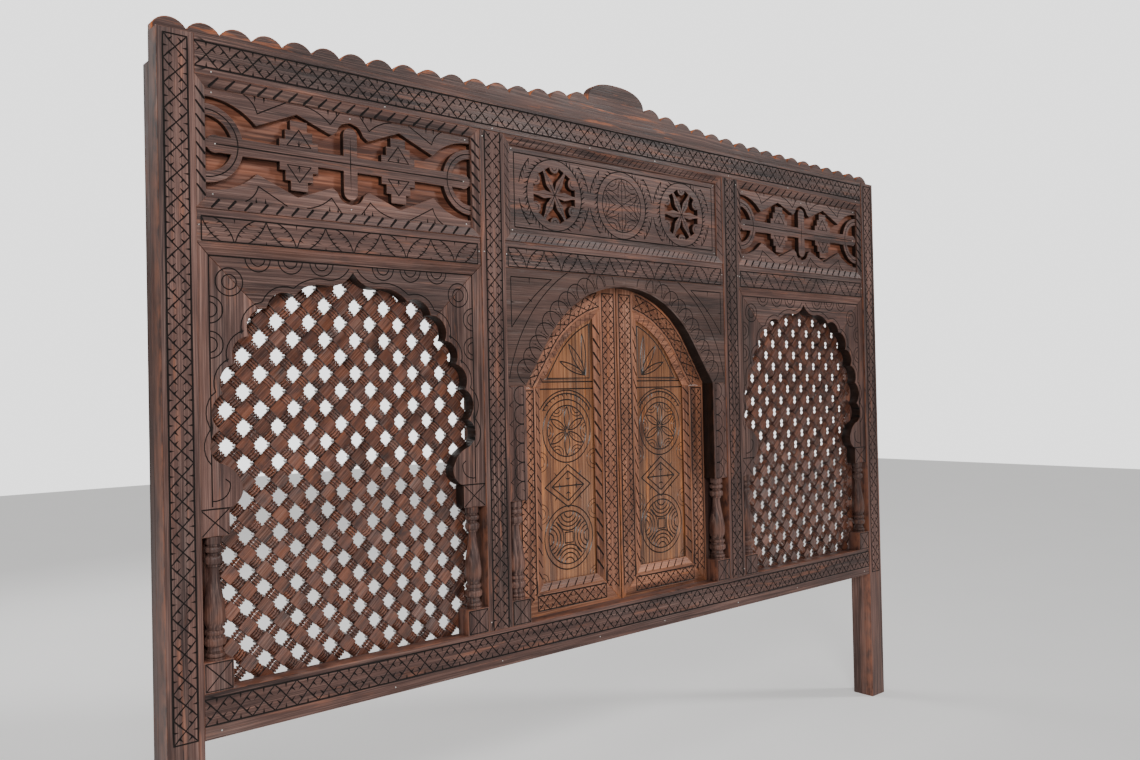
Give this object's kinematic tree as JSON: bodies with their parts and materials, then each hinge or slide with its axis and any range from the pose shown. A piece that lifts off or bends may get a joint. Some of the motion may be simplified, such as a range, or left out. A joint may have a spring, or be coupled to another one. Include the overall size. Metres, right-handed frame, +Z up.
{
  "type": "carved wooden bed headboard",
  "caption": "Carved wooden headboard on two legs, with lattice windows, fretwork panels, a scalloped crest and a pair of small arched doors that swing back.",
  "frame": {"origin": "middle of the headboard's footprint: half its width, half its depth, on the floor under the legs", "axes": "+X to the right seen from the bed, -Y out of the carved front towards the bed, +Z up"},
  "size_m": [2, 0.062, 1.5562],
  "materials": {
    "dark_wood": "dark brown stain, satin, worn paler on edges",
    "ground_wood": "red-brown stain over visible grain, satin",
    "door_wood": "thinner brown stain, satin",
    "steel": "dull plated"
  },
  "bodies": {
    "frame": {"arch_board": "dark_wood", "bottom_rail": "dark_wood", "centre_leaf_rail": "dark_wood", "centre_panel_moulding": "dark_wood", "crest_board": "dark_wood", "left_door_column": "dark_wood", "left_door_jamb": "dark_wood", "left_door_lower_hinge_frame_plate": "steel", "left_door_upper_hinge_frame_plate": "steel", "left_hinge_upright": "dark_wood", "left_key_backing": "ground_wood", "left_key_panel": "dark_wood", "left_lattice": "dark_wood", "left_leaf_rail": "dark_wood", "left_mid_stile": "dark_wood", "left_panel_moulding": "dark_wood", "left_post": "dark_wood", "left_rear_post": "dark_wood", "left_window_head": "dark_wood", "left_window_inner_board": "dark_wood", "left_window_inner_column": "dark_wood", "left_window_outer_board": "dark_wood", "left_window_outer_column": "dark_wood", "right_door_column": "dark_wood", "right_door_jamb": "dark_wood", "right_door_lower_hinge_frame_plate": "steel", "right_door_upper_hinge_frame_plate": "steel", "right_hinge_upright": "dark_wood", "right_key_backing": "ground_wood", "right_key_panel": "dark_wood", "right_lattice": "dark_wood", "right_leaf_rail": "dark_wood", "right_mid_stile": "dark_wood", "right_panel_moulding": "dark_wood", "right_post": "dark_wood", "right_rear_post": "dark_wood", "right_window_head": "dark_wood", "right_window_inner_board": "dark_wood", "right_window_inner_column": "dark_wood", "right_window_outer_board": "dark_wood", "right_window_outer_column": "dark_wood", "rosette_backing": "ground_wood", "rosette_panel": "dark_wood", "top_rail": "dark_wood"},
    "left_door": {"left_door_bottom_rail": "door_wood", "left_door_head": "door_wood", "left_door_hinge_stile": "door_wood", "left_door_lower_hinge_leaf_plate": "steel", "left_door_meeting_stile": "door_wood", "left_door_moulding": "door_wood", "left_door_panel": "door_wood", "left_door_upper_hinge_leaf_plate": "steel"},
    "right_door": {"right_door_bottom_rail": "door_wood", "right_door_head": "door_wood", "right_door_hinge_stile": "door_wood", "right_door_lower_hinge_leaf_plate": "steel", "right_door_meeting_stile": "door_wood", "right_door_moulding": "door_wood", "right_door_panel": "door_wood", "right_door_upper_hinge_leaf_plate": "steel"}
  },
  "joints": [
    {"name": "left_door_hinge", "type": "hinge", "parent": "frame", "child": "left_door", "pos_m": [-0.2865, 0.0276, 0.656], "axis": [0, 0, 1], "range_deg": [0, 100]},
    {"name": "right_door_hinge", "type": "hinge", "parent": "frame", "child": "right_door", "pos_m": [0.2865, 0.0276, 0.656], "axis": [0, 0, -1], "range_deg": [0, 100]}
  ]
}
